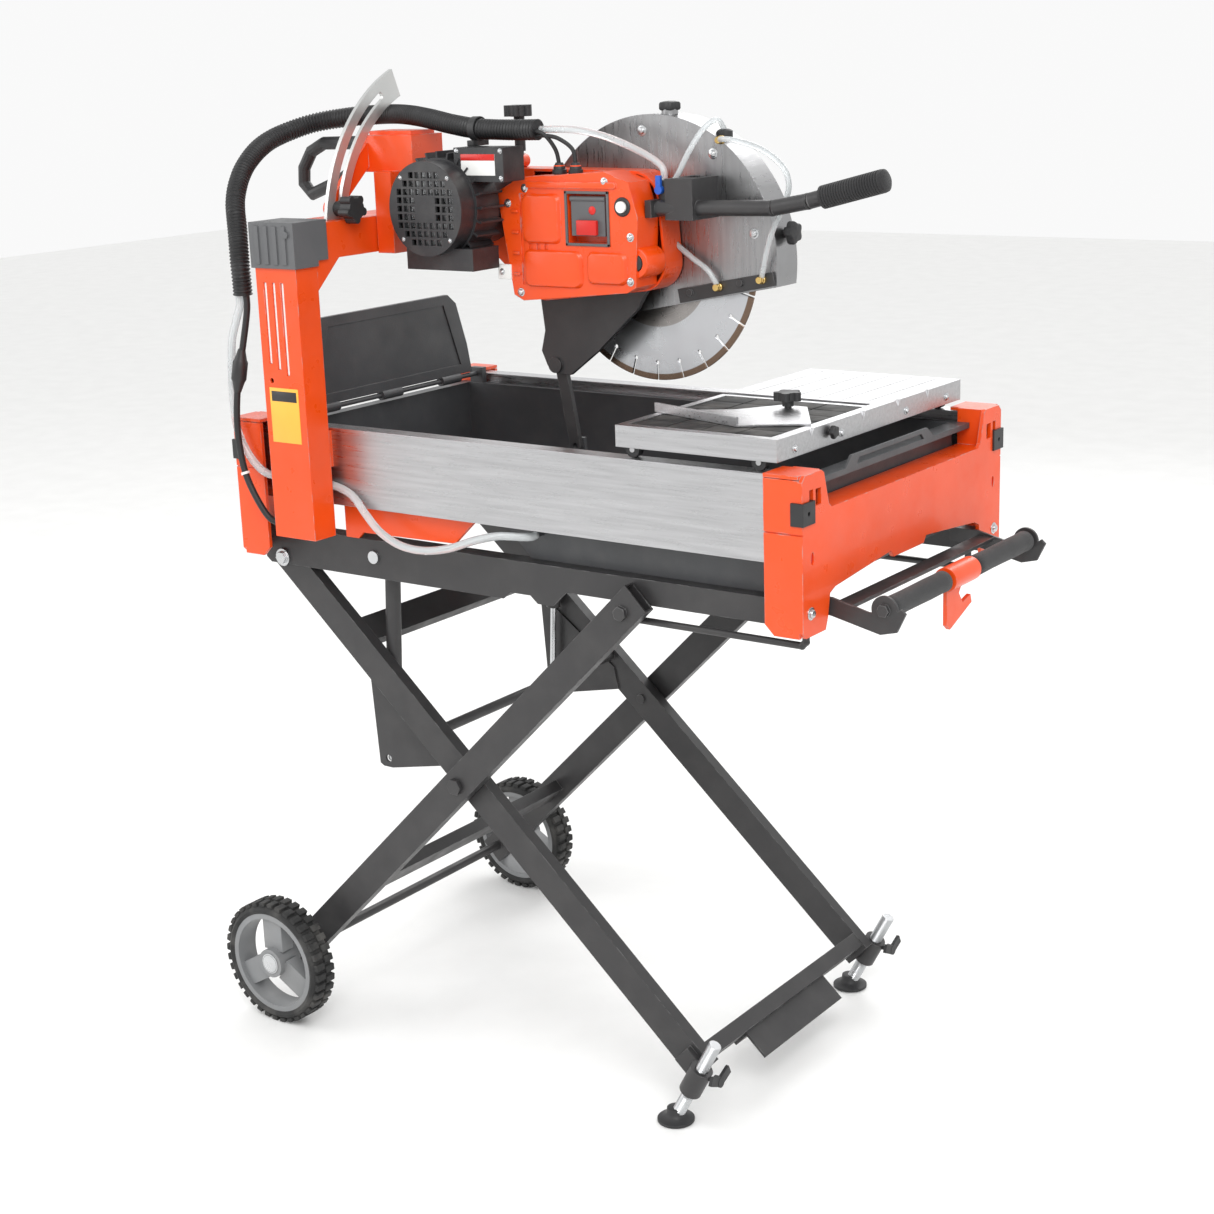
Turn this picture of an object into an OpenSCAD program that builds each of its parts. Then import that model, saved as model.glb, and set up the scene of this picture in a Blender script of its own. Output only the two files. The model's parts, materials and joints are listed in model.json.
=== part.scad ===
// Masonry saw on a folding, wheeled stand.
// Frame: +Z up, +X the operator's end, -Y the column side. Origin on the floor, under the middle.

/* [Stand] */
// Distance from the upper leg hinge to the scissor pivot
pivot_len = 467; // [460:1:474]
// Angle of the hinged legs below the horizontal
hinge_leg_angle = 41.9; // [41:0.1:43]
// Distance from the scissor pivot to the wheel axle
axle_len = 495.5; // [490:0.5:500]
// Distance from the scissor pivot to the pin under the rail
track_len = 447; // [445:0.5:449]
// Width of a leg tube
leg_w = 48; // [40:1:50]
// Wall of a leg tube
leg_wall = 2.5; // [1.5:0.5:3]

/* [Wheels and feet] */
// Width of a wheel
wheel_w = 45; // [36:1:46]
// Radius of the rim where the tyre sits
rim_r = 84; // [80:1:88]
// Radius of a foot plate
foot_r = 27.5; // [22:0.5:30]
// Lean of the foot screws from the vertical
foot_lean = 28; // [26:0.5:30]

/* [Frame] */
// Outer half width over the side rails
rail_y = 269; // [267:1:270]
// Height of the side rail's top
rail_top = 984; // [982:1:984]
// Height of the side rail's bottom
rail_low = 866; // [860:1:870]
// Outer half width over the end panels
panel_y = 290; // [286:1:291]
// Height of an end panel's corner towers
tower_top = 990; // [986:1:994]
// Height of an end panel between its towers
panel_mid = 937; // [930:1:945]

/* [Saw head] */
// Blade radius
blade_r = 175; // [150:1:176]
// Blade thickness
blade_t = 3.2; // [2.4:0.1:3.6]
// Number of blade segments
segments = 24; // [18:1:26]
// Radius of the blade guard
guard_r = 208; // [204:1:210]
// Radius of the motor's fan cowl
cowl_r = 68; // [64:1:70]
// Radius over the motor's cooling fins
fin_r = 80; // [74:1:80]

/* [Table] */
// Length of the sliding table
table_l = 250; // [240:1:252]
// Half width of the sliding table
table_y = 262; // [258:1:263]
// Height of the table's top
table_top = 1028; // [1026:1:1030]

/* [Hidden] */
$fn = 48;

fit = 0.05;
bead = 0.4;
orange = "#ef5b24";
black = "#2b2b2d";
dark_grey = "#47484a";
steel = "#b9bcc0";

// Stand: hinge, scissor pivot, wheel axle and track pin, all as [x, z]
hinge = [-485, 763];
pivot = hinge + pivot_len * [cos(hinge_leg_angle), -sin(hinge_leg_angle)];
wheel_leg_angle = 44.65;
axle = pivot - axle_len * [cos(wheel_leg_angle), sin(wheel_leg_angle)];
tyre_r = axle[1];
front_reach = tyre_r - axle[0];
leg_b_len = 1026;
leg_t = 20;
leg_b_y = 222;
leg_a_y = 249;
pin_r = 8;
strut_top = [-293, 785];
strut_low = [-313, 450];
strut_y = 206;
foot_y = 260;
foot_x = 243;
foot_screw_r = 10;

// Frame
front_x = 484;
rear_x = -529;
panel_depth = 58;
sheet = 6;
stand_top = 812;
stand_low = 752;
track_low = 775.5;
bar_x = 562;
bar_z = 808;
flap_hinge = [-462, 986];
pan_x0 = -482;
pan_x1 = 436;

// Column, arm and bevel shaft
col_x0 = -416;
col_x1 = -335;
col_y0 = -328;
col_y1 = -283;
arm_low = 1234;
arm_top = 1287;
shaft_y = 25;
shaft_z = 1252;
shaft_r = 12;
arc_in = 223;
arc_out = 266;
arc_mid = (arc_in + arc_out) / 2;
clamp_angle = 168;
clamp_y = shaft_y + arc_mid * cos(clamp_angle);
clamp_z = shaft_z + arc_mid * sin(clamp_angle);

// Head: plunge axis, motor axis, blade axis and guard centre, all as [x, z]
plunge = [-276, 1342];
motor = [-196, 1303];
arbor = [59, 1215];
guard = [76, 1218];
blade_y = 16;
pulley_r = 28;
belt_t = 5;
cover_y = -110;
house_y0 = -58;
house_y1 = -14;
eye = [-86, 1062];

// Table
table_x0 = 176;
table_x1 = table_x0 + table_l;
slot_y0 = 8;
slot_y1 = 24;
roller_r = 11;
roller_z = rail_top + roller_r + 0.2;
roller_x = [200, 400];
knob_at = [332, -68];

// Routes of the hoses and cables
conduit_route = [[-51, -110, 1410], [-106, -110, 1410], [-162, -110, 1412], [-212, -105, 1418],
    [-258, -96, 1425], [-305, -82, 1430], [-354, -66, 1432], [-405, -60, 1431], [-455, -70, 1428],
    [-500, -95, 1421], [-524, -132, 1409], [-532, -168, 1396], [-531, -202, 1378], [-525, -235, 1352],
    [-514, -262, 1316], [-492, -284, 1272], [-478, -298, 1226], [-475, -300, 1196], [-475, -300, 1180]];
power_route = [[-468, -300, 1180], [-468, -300, 1165], [-470, -302, 1145], [-476, -306, 1110],
    [-484, -310, 1070],
    [-491, -313, 1030], [-495, -314, 990], [-494, -314, 950], [-486, -314, 910], [-468, -314, 875],
    [-450, -309, 845], [-436, -305, 836], [-424, -305, 836]];
pump_route = [[-483, -300, 1180], [-483, -300, 1165], [-494, -300, 1140], [-506, -300, 1110],
    [-512, -300, 1065],
    [-513, -301, 1020], [-508, -302, 975], [-490, -301, 938], [-464, -298, 912], [-442, -284, 902],
    [-422, -276, 899], [-372, -276, 899], [-332, -276, 896], [-300, -277, 884], [-274, -280, 860],
    [-246, -281, 836], [-208, -281, 820], [-165, -280, 817], [-118, -278, 825], [-76, -272, 840],
    [-36, -265, 850], [0, -260, 852], [15, -252, 852], [15, -241, 852]];
feed_route = [[-51, -104, 1410], [-38, -104, 1410], [-20, -100, 1410], [5, -91, 1408],
    [35, -80, 1401], [64, -70, 1390],
    [92, -63, 1377], [116, -60, 1364], [128, -60, 1354], [130, -60, 1346], [130, -60, 1338]];
handle_route = [[-370, -100, 1392], [-385, -100, 1392], [-430, -94, 1391], [-488, -88, 1390],
    [-518, -86, 1377],
    [-536, -86, 1352], [-538, -86, 1328], [-520, -88, 1312], [-450, -97, 1334],
    [-410, -100, 1355], [-385, -100, 1362], [-370, -100, 1362]];

function unit(v) = v / norm(v);
function tangent(p, i) = unit(p[min(i + 1, len(p) - 1)] - p[max(i - 1, 0)]);
function side_of(t) = unit(cross(t, abs(t[2]) > 0.9 ? [1, 0, 0] : [0, 0, 1]));
// A side vector carried along the route, so the tube doesn't twist
function carried(p, i) = i == 0 ? side_of(tangent(p, 0))
    : let (s = carried(p, i - 1), t = tangent(p, i)) unit(s - (s * t) * t);
function ring(c, t, s, r, n) = let (u = cross(t, s))
    [for (k = [0:n - 1]) c + r * (cos(360 * k / n) * s + sin(360 * k / n) * u)];
function sides_of_ring(j, n) = [for (k = [0:n - 1])
    [j * n + k, j * n + (k + 1) % n, (j + 1) * n + (k + 1) % n, (j + 1) * n + k]];

// A cord swept along its route with n sides
module cord(p, r, n = 10) {
    last = len(p) - 1;
    points = [for (i = [0:last]) each ring(p[i], tangent(p, i), carried(p, i), r, n)];
    walls = [for (j = [0:last - 1]) each sides_of_ring(j, n)];
    start_cap = [[for (k = [n - 1:-1:0]) k]];
    end_cap = [[for (k = [0:n - 1]) last * n + k]];
    polyhedron(points, [for (f = concat(walls, start_cap, end_cap)) [for (k = [len(f) - 1:-1:0]) f[k]]]);
}

module block(x, y, z) {
    translate([x[0], y[0], z[0]]) cube([x[1] - x[0], y[1] - y[0], z[1] - z[0]]);
}

// A flat shape given as [x, z], thick from y[0] to y[1]
module plate_y(y) {
    translate([0, y[1], 0]) rotate([90, 0, 0]) linear_extrude(y[1] - y[0]) children();
}

// A flat shape given as [y, z], thick from x[0] to x[1]
module plate_x(x) {
    translate([x[0], 0, 0]) rotate([90, 0, 90]) linear_extrude(x[1] - x[0]) children();
}

module rod_x(y, z, x, r) {
    translate([x[0], y, z]) rotate([0, 90, 0]) cylinder(h = x[1] - x[0], r = r);
}

module rod_y(at, y, r) {
    translate([at[0], y[0], at[1]]) rotate([-90, 0, 0]) cylinder(h = y[1] - y[0], r = r);
}

module rod_z(x, y, z, r) {
    translate([x, y, z[0]]) cylinder(h = z[1] - z[0], r = r);
}

module rod_between(a, b, r) {
    d = b - a;
    translate(a) rotate([0, acos(d[2] / norm(d)), atan2(d[1], d[0])]) cylinder(h = norm(d), r = r);
}

module bent_rod(p, r) {
    for (i = [0:len(p) - 2]) rod_between(p[i], p[i + 1], r);
    for (i = [1:len(p) - 2]) translate(p[i]) sphere(r = r + bead);
}

module both_sides() {
    children();
    mirror([0, 1, 0]) children();
}

// Local +X runs from the point at this angle above the horizontal
module along(at, angle) {
    translate([at[0], 0, at[1]]) rotate([0, -angle, 0]) children();
}

module hex_head(at, y, r) {
    rod_y(at, y, r, $fn = 6);
}

module lobed_knob(r, h, lobes) {
    cylinder(h = h, r = 0.72 * r);
    for (i = [0:lobes - 1]) rotate(360 * i / lobes) translate([0.72 * r, 0, 0]) cylinder(h = h,
        r = 0.28 * r, $fn = 20);
}

// ---------------------------------------------------------------- frame

module side_rail() {
    difference() {
        block([rear_x + sheet, front_x - sheet], [-rail_y, -rail_y + 28], [rail_low, rail_top]);
        block([rear_x, front_x], [-rail_y + 3, 0], [rail_low + 3, rail_top - 3]);
        block([rear_x, front_x], [-rail_y + 24, 0], [rail_low - 1, rail_low + 4]);
    }
    block([rear_x + sheet, front_x - sheet], [-rail_y + 3, -rail_y + 18], [rail_top - 22, rail_top - 19]);
}

module side_rails() {
    color(steel) both_sides() side_rail();
}

function half_outline(y_far) = [[0, panel_mid], [-y_far + 75, panel_mid], [-y_far + 68, panel_mid + 6],
    [-y_far + 56, tower_top - 4], [-y_far + 50, tower_top], [-y_far + 8, tower_top],
    [-y_far, tower_top - 8], [-y_far, 783], [-y_far + 8, 775], [-y_far + 58, 775], [-y_far + 64, 790],
    [-y_far + 70, 822], [-y_far + 84, 828], [-52, 842], [-44, 832], [0, 832]];

module panel_front() {
    difference() {
        union() {
            polygon(half_outline(panel_y));
            mirror([1, 0]) polygon(half_outline(panel_y));
        }
        for (s = [-1, 1]) {
            translate([s * 249, 957]) square([14, 22], center = true);
            translate([s * 267, 962]) square([10, 14], center = true);
            translate([s * 265, 878]) scale([0.7, 1.4]) circle(r = 6);
            translate([s * 270, 806]) circle(r = 6);
        }
    }
}

// Outer face at x = 0, the shell opens towards -X
module end_panel() {
    difference() {
        union() {
            plate_x([-sheet, 0]) panel_front();
            both_sides() {
                block([-panel_depth, -sheet], [-panel_y, -panel_y + sheet], [775, tower_top - 6]);
                block([-panel_depth, -sheet], [-panel_y, -panel_y + 50], [tower_top - 5, tower_top]);
                block([-panel_depth + 14, -sheet], [-panel_y + 50, -panel_y + 55], [panel_mid, tower_top]);
            }
            block([-panel_depth + 14, -sheet], [-panel_y + 50, panel_y - 50], [panel_mid - 5, panel_mid]);
        }
        both_sides() {
            block([-panel_depth - 1, 1], [-panel_y - 1, -panel_y + 2], [912, 914]);
            block([-16, 1], [-panel_y - 1, -panel_y + 28], [925, 955]);
            translate([-panel_depth, 0, 775]) rotate([0, 45, 0]) cube([20, 700, 20], center = true);
        }
    }
}

module front_panel() {
    color(orange) translate([front_x, 0, 0]) end_panel();
}

module rear_panel() {
    color(orange) translate([rear_x, 0, 0]) mirror([1, 0, 0]) end_panel();
}

module corner_plug() {
    difference() {
        block([-16, 3], [-panel_y - 3, -panel_y + 28], [925, 955]);
        block([-17, -sheet], [-panel_y + sheet, 0], [924, 956]);
        rod_x(-panel_y + 12, 940, [-1, 5], 3);
    }
}

module corner_plugs() {
    color(black) both_sides() {
        translate([front_x, 0, 0]) corner_plug();
        translate([rear_x, 0, 0]) mirror([1, 0, 0]) corner_plug();
    }
}

module frame_bolts() {
    color("silver") both_sides() {
        rod_x(-270, 806, [front_x - 20, front_x - 1], 6 - fit);
        rod_x(-270, 806, [rear_x + 1, rear_x + 20], 6 - fit);
        rod_y(hinge, [-247, -leg_b_y + 1], pin_r);
        rod_y(hinge, [-251, -247], 14);
        hex_head(hinge, [-256, -251], 10);
        rod_y(strut_top, [-247, -strut_y + 7], 5);
        rod_y(strut_top, [-251, -247], 10);
    }
}

// Section of the pan: deep at the operator's end, shallow at the rear
function pan_outline(inset) = [[pan_x0 + inset, 970], [pan_x0 + inset, 861 + inset],
    [-57 + 0.4 * inset, 861 + inset],
    [-6 + 0.4 * inset, stand_top + inset], [pan_x1 - inset, stand_top + inset], [pan_x1 - inset, 970]];

module water_pan() {
    wall = 4;
    color(dark_grey) {
        difference() {
            union() {
                plate_y([-225, 225]) polygon(pan_outline(0));
                block([pan_x0 - 18, pan_x1 + 24], [-234, 234], [962, 970]);
            }
            plate_y([-225 + wall, 225 - wall]) polygon(pan_outline(wall));
            block([pan_x0 + wall, pan_x1 - wall], [-221, 221], [960, 971]);
        }
        rod_y([15, 852], [-241, -224], 4);
        for (y = [-228, 228]) block([-476, -450], [y - 6, y + 6], [966, 996]);
        rod_y(flap_hinge, [-224, 224], 4);
        difference() {
            plate_y([-24, -18]) polygon([[-80, 864], [-46, 864], [-54, 950], [-72, 950]]);
            rod_y([-63, 938], [-25, -17], 4);
        }
        pan_handle();
    }
}

// Trapezoid grip that stands at the pan's operator end
module pan_handle() {
    difference() {
        plate_x([pan_x1 + 20, pan_x1 + 24]) polygon([[-138, 968], [-118, 985], [100, 985], [123, 968]]);
        plate_x([pan_x1 + 19, pan_x1 + 25]) polygon([[-104, 971], [-98, 979], [82, 979], [90, 971]]);
    }
}

module column() {
    color(orange) {
        difference() {
            block([col_x0, col_x1], [col_y0, col_y1], [822, arm_low]);
            block([col_x0 + 4, col_x1 - 4], [col_y0 + 4, col_y1 - 4], [821, arm_low - 5]);
            for (i = [0:2]) block([-402 + 17 * i, -396 + 17 * i], [col_y0 - 1, col_y0 + 5],
                [1085 - 8 * i, 1205]);
            rod_y([-400, 1060], [col_y0 - 1, col_y0 + 5], 4);
        }
        block([col_x0 + 8, col_x1 - 8], [col_y1, -rail_y], [925, 980]);
        block([col_x0 - 8, col_x0], [-315, -295], [826, 846]);
    }
}

module column_cap() {
    color("#77787a") difference() {
        union() {
            block([col_x0 - 4, col_x1 + 4], [col_y0 - 4, -262], [1226, arm_top + 5]);
            for (i = [0:3]) block([col_x0 + 8 + 18 * i, col_x0 + 16 + 18 * i],
                [col_y0 - 6, col_y0 - 4], [1232, arm_top]);
            rod_y([-345, 1275], [col_y0 - 7, col_y0 - 4], 5);
        }
        block([col_x0, col_x1], [col_y0, -250], [1220, arm_top]);
        block([col_x0 - 9, col_x1 + 9], [col_y1, -250], [1220, arm_low]);
    }
}

module arm() {
    color(orange) {
        difference() {
            block([col_x0, col_x1], [col_y0, shaft_y], [arm_low, arm_top]);
            block([col_x0 + 4, col_x1 - 4], [col_y0 - 1, shaft_y - 40], [arm_low + 4, arm_top - 4]);
        }
        rod_x(shaft_y, shaft_z, [col_x0, col_x1], 34);
        rod_x(shaft_y, shaft_z, [col_x1, -296], shaft_r);
        plate_x([col_x1 - 6, col_x1]) polygon([[col_y1, 1190], [col_y1, arm_low], [-235, arm_low]]);
    }
}

// Quarter arc with the slot for the bevel clamp
module arc_plate() {
    slot_r = 6;
    color("#c9cbcc") plate_x([-357, -351]) difference() {
        intersection() {
            translate([shaft_y, shaft_z]) difference() {
                circle(r = arc_out, $fn = 96);
                circle(r = arc_in, $fn = 96);
            }
            polygon([[shaft_y, shaft_z - 1], [shaft_y - 400, shaft_z - 1], [shaft_y - 400, shaft_z + 400],
                [shaft_y - 162, shaft_z + 400]]);
        }
        translate([-400, shaft_z - 100]) square([500, arm_top - shaft_z + 100]);
        translate([shaft_y, shaft_z]) {
            intersection() {
                difference() {
                    circle(r = arc_mid + slot_r, $fn = 96);
                    circle(r = arc_mid - slot_r, $fn = 96);
                }
                polygon([[0, 0], for (a = [122, 145, 169]) 400 * [cos(a), sin(a)]]);
            }
            for (a = [122, 169]) rotate(a) translate([arc_mid, 0]) circle(r = slot_r, $fn = 32);
        }
    }
}

module gussets() {
    color(orange) both_sides() plate_y([-250, -244])
        polygon([[-345, rail_low], [-85, rail_low], [-129, 825], [-310, 822], [-320, stand_top],
            [-345, stand_top]]);
}

module stand_rail() {
    difference() {
        plate_y([-247, -244]) polygon([[rear_x + sheet, stand_low + 8], [rear_x + sheet + 10, stand_low],
            [-45, stand_low], [-32, stand_low + 11], [5, stand_low + 11], [18, stand_low], [45, stand_low],
            [70, track_low], [front_x - sheet, track_low], [front_x - sheet, stand_top],
            [rear_x + sheet, stand_top]]);
        rod_y(hinge, [-250, -240], pin_r + fit);
        rod_y(strut_top, [-250, -240], 5 + fit);
    }
    block([rear_x + sheet, front_x - sheet], [-247, -217], [stand_top - 3, stand_top]);
}

module stand_rails() {
    color(black) both_sides() stand_rail();
}

module guide_rods() {
    color(black) both_sides() {
        bent_rod([[160, -239, stand_top - 3], [160, -239, 756], [166, -239, 750], [452, -239, 750],
            [458, -239, 756], [458, -239, stand_top - 3]], 5);
    }
}

module front_bracket() {
    color(black) {
        both_sides() plate_y([-217, -213]) {
            polygon([[440, 815], [440, 796], [484, 790], [556, 774], [580, 780], [front_reach, 806],
                [586, 812], [570, 800], [538, 802], [484, 815]]);
            translate([bar_x, bar_z]) circle(r = 19);
        }
        block([484.5, 512], [-213, 213], [802, 807]);
        rod_y([bar_x, bar_z], [-213, 213], pin_r);
        both_sides() hex_head([bar_x, bar_z], [-223, -217], 9);
    }
}

module front_grips() {
    color(black) for (y = [[-212.5, -48], [36, 212.5]]) difference() {
        rod_y([bar_x, bar_z], y, 15);
        rod_y([bar_x, bar_z], [y[0] - 1, y[1] + 1], pin_r + fit);
    }
}

// ---------------------------------------------------------------- legs

module leg_tube(from, to, y) {
    difference() {
        block([from, to], y, [-leg_w / 2, leg_w / 2]);
        block([from - 1, to + 1], [y[0] + leg_wall, y[1] - leg_wall],
            [-leg_w / 2 + leg_wall, leg_w / 2 - leg_wall]);
    }
}

// Place on the foot screw's axis, at a height along it
module on_foot_axis(y) {
    translate([foot_x, y, 6]) rotate([0, foot_lean, 0]) children();
}

module foot_sleeve() {
    difference() {
        union() {
            on_foot_axis(-foot_y) translate([0, 0, 56]) cylinder(h = 46, r = 17);
            along(hinge, -hinge_leg_angle) block([leg_b_len - 40, leg_b_len], [-252, -242], [-16, 16]);
        }
        on_foot_axis(-foot_y) cylinder(h = 140, r = foot_screw_r + fit);
        rod_x(-foot_y, 84, [285, 330], 4 + fit);
    }
}

module strut_bracket() {
    plate_y([-223, -219]) difference() {
        polygon([[-342, 612], [-331, 440], [-324, 436], [-305, 436], [-182, 462], [-190, 500]]);
        translate(strut_low) circle(r = 6);
    }
}

module hinged_legs() {
    color(black) {
        both_sides() {
            difference() {
                along(hinge, -hinge_leg_angle) leg_tube(-26, leg_b_len, [-242, -222]);
                rod_y(hinge, [-243, -221], pin_r + fit);
            }
            rod_y(pivot, [-270, -219], pin_r);
            hex_head(pivot, [-276, -269.5], 13);
            foot_sleeve();
            strut_bracket();
        }
        along(hinge, -hinge_leg_angle) {
            block([150, 195], [-223, 223], [-10, 10]);
            translate([377, 0, 10]) rod_y([0, 0], [-223, 223], 8);
            block([994, 1018], [-223, 223], [-11, 23]);
            block([1017, 1022], [-124, 105], [-20, 12]);
            block([1017, 1064], [-124, 105], [8, 12]);
        }
    }
}

module wheel_legs() {
    color(black) {
        both_sides() {
            difference() {
                along(pivot, wheel_leg_angle) leg_tube(-axle_len - 24, track_len + 34, [-269, -249]);
                rod_y(pivot, [-271, -247], pin_r + fit);
            }
            along(pivot, wheel_leg_angle) translate([track_len, 0, 0]) {
                rod_y([0, 0], [-269, -236], pin_r);
                hex_head([0, 0], [-275, -269], 11);
            }
            rod_y(axle, [-298, -269], 13);
        }
        rod_y(axle, [-343, 343], pin_r);
        along(pivot, wheel_leg_angle) block([-332, -287], [-250, 250], [-10, 10]);
    }
}

// ---------------------------------------------------------------- wheels and feet

module at_wheel(s) {
    translate([axle[0], s * (345 - wheel_w / 2), axle[1]]) rotate([90, 0, 0]) children();
}

module tyre(s) {
    w = wheel_w / 2;
    color("#222222") at_wheel(s) rotate_extrude($fn = 72)
        polygon([[rim_r, -w + 3], [rim_r + 8, -w], [tyre_r - 7, -w + 2], [tyre_r, -w + 9], [tyre_r, w - 9],
            [tyre_r - 7, w - 2], [rim_r + 8, w], [rim_r, w - 3]]);
}

module rim(s) {
    w = wheel_w / 2;
    color("#8d8f92") at_wheel(s) difference() {
        union() {
            rotate_extrude($fn = 72) polygon([[rim_r - 9, -w + 3], [rim_r, -w + 3], [rim_r, w - 3],
                [rim_r - 9, w - 3]]);
            cylinder(h = wheel_w, r = 24, center = true);
            for (a = [90:120:330]) rotate(a) translate([50, 0, 0]) cube([60, 40, wheel_w - 20],
                center = true);
            translate([0, 0, -s * w]) cylinder(h = 3, r = 15, center = true);
        }
        translate([0, 0, s * 2]) cylinder(h = wheel_w, r = pin_r + fit, center = true);
    }
}

module tyre_near() { tyre(-1); }
module tyre_far() { tyre(1); }
module rim_near() { rim(-1); }
module rim_far() { rim(1); }

module foot(s) {
    color(black) translate([foot_x, s * foot_y, 0]) rotate_extrude()
        polygon([[0, 0], [foot_r, 0], [foot_r, 5], [17, 9], [13, 22], [0, 22]]);
    color("silver") on_foot_axis(s * foot_y) translate([0, 0, 12]) cylinder(h = 142, r = foot_screw_r);
}

module foot_near() { foot(-1); }
module foot_far() { foot(1); }

module wing(s) {
    color(black) {
        rod_x(s * foot_y, 84, [299, 318], 4);
        rod_x(s * foot_y, 84, [312, 324], 8);
        translate([321, s * foot_y, 84]) for (a = [-1, 1]) rotate([a * 25, 0, 0])
            translate([0, a * 15, 0]) cube([5, 22, 14], center = true);
    }
}

module wing_near() { wing(-1); }
module wing_far() { wing(1); }

// ---------------------------------------------------------------- gas struts

strut_len = norm(strut_low - strut_top);
strut_dir = atan2(strut_low[1] - strut_top[1], strut_low[0] - strut_top[0]);

module strut_tube(s) {
    color(black) translate([0, s * strut_y, 0]) along(strut_top, strut_dir) difference() {
        union() {
            rod_x(0, 0, [14, 190], 12);
            rod_y([0, 0], [-6, 6], 11);
            block([0, 20], [-6, 6], [-7, 7]);
        }
        rod_x(0, 0, [18, 191], 5 + 4 * fit);
        rod_y([0, 0], [-9, 9], 5 + fit);
    }
}

module strut_rod(s) {
    color("silver") translate([0, s * strut_y, 0]) along(strut_top, strut_dir) {
        rod_x(0, 0, [146, strut_len - 6], 5);
        rod_y([strut_len, 0], [-6, 6], 10);
        rod_y([strut_len, 0], [min(0, s * 12.5), max(0, s * 12.5)], 5);
    }
}

module strut_tube_near() { strut_tube(-1); }
module strut_tube_far() { strut_tube(1); }
module strut_rod_near() { strut_rod(-1); }
module strut_rod_far() { strut_rod(1); }

// ---------------------------------------------------------------- flap and hook

module splash_flap() {
    color(dark_grey) {
        difference() {
            plate_x([-466, -458]) polygon([[-206, 992], [206, 992], [196, 1040], [172, 1112], [152, 1128],
                [-152, 1128], [-172, 1112], [-196, 1040]]);
            plate_x([-460, -457]) polygon([[-178, 1008], [178, 1008], [140, 1112], [-140, 1112]]);
        }
        for (y = [-150, 0, 150]) difference() {
            union() {
                rod_y(flap_hinge, [y - 24, y + 24], 8);
                block([-466, -458], [y - 24, y + 24], [986, 994]);
            }
            rod_y(flap_hinge, [y - 25, y + 25], 4 + fit);
        }
    }
}

module latch_hook() {
    color(orange) {
        difference() {
            union() {
                rod_y([bar_x, bar_z], [-44, 32], 17);
                plate_x([bar_x - 3, bar_x + 3]) polygon([[-44, 800], [-44, 744], [-34, 736], [32, 760],
                    [28, 772], [4, 766], [-8, 782], [6, 800]]);
            }
            rod_y([bar_x, bar_z], [-45, 33], pin_r + fit);
        }
    }
}

// ---------------------------------------------------------------- sliding table

module cart_table() {
    color(steel) {
        difference() {
            block([table_x0, table_x1], [-table_y, table_y], [table_top - 11, table_top]);
            block([table_x0 - 1, table_x1 - 14], [slot_y0, slot_y1], [table_top - 12, table_top + 1]);
            block([table_x0 + 12, table_x1 - 12], [-table_y + 14, slot_y0 - 10],
                [table_top - 3, table_top + 1]);
            for (x = [table_x0 + 30:38:table_x1 - 20])
                block([x, x + 2], [slot_y1 + 10, table_y - 14], [table_top - 2, table_top + 1]);
        }
        difference() {
            block([table_x1, table_x1 + 5], [-table_y, table_y], [998, table_top]);
            for (y = [-180, -40, 60, 150]) plate_x([table_x1 - 1, table_x1 + 6])
                polygon([[y, table_top + 1], [y + 12, table_top + 1], [y + 6, table_top - 11]]);
        }
        both_sides() {
            block([table_x0, table_x1], [-table_y, -table_y + 4], [998, table_top - 11]);
            for (x = roller_x) rod_y([x, roller_z], [-table_y + 4, -244], 4);
        }
        block([table_x0, table_x1], [slot_y1 + 6, slot_y1 + 10], [1005, table_top - 11]);
        block([table_x0, table_x1], [slot_y0 - 10, slot_y0 - 6], [1005, table_top - 11]);
    }
}

module roller_pair(x) {
    color(black) both_sides() difference() {
        rod_y([x, roller_z], [-257, -245], roller_r);
        rod_y([x, roller_z], [-258, -244], 4 + fit);
    }
}

module rollers_front() { roller_pair(roller_x[1]); }
module rollers_rear() { roller_pair(roller_x[0]); }

module angle_stop() {
    color(steel) {
        difference() {
            translate([0, 0, table_top + 0.3]) linear_extrude(3)
                polygon([[170, -158], [338, -208], [420, -156], [352, -50], [312, -50], [270, -110]]);
            rod_z(knob_at[0], knob_at[1], [table_top - 1, table_top + 5], 5 + fit);
        }
        translate([170, -158, table_top + 3.3]) rotate(-16.6) cube([172, 4, 10]);
    }
}

module stop_knob() {
    color(black) translate([knob_at[0], knob_at[1], 0]) {
        translate([0, 0, table_top + 0.3]) cylinder(h = 25.7, r = 5);
        translate([0, 0, table_top + 6]) cylinder(h = 20, r = 8);
        translate([0, 0, table_top + 14]) lobed_knob(20, 12, 5);
    }
}

// ---------------------------------------------------------------- bevel carriage

module carriage() {
    color(orange) difference() {
        union() {
            rod_x(shaft_y, shaft_z, [-334.5, -296], 34);
            plate_x([-333, -300]) polygon([[-5, 1240], [55, 1240], [55, 1322], [20, 1352], [-150, 1352],
                [-150, 1232], [-104, 1232], [-64, 1292], [-20, 1292]]);
            block([-370, -272], [-130, -60], [1350, 1404]);
            block([-362, -280], [-122, -68], [1404, 1410]);
            plate_x([-369, -359.5]) hull() {
                translate([clamp_y, clamp_z]) circle(r = 12);
                translate([-125, 1380]) circle(r = 14);
            }
            for (y = [[-72, -60], [0, 12]]) {
                rod_y(plunge, y, 22);
                block([-301, plunge[0]], y, [1322, 1352]);
            }
            rod_y(plunge, [-76, 16], pin_r);
        }
        rod_x(shaft_y, shaft_z, [-336, -295], shaft_r + fit);
        rod_x(clamp_y, clamp_z, [-371, -358], 5 + fit);
    }
}

module carry_handle() {
    color("#6d6f72") cord(handle_route, 10, 12);
}

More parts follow.
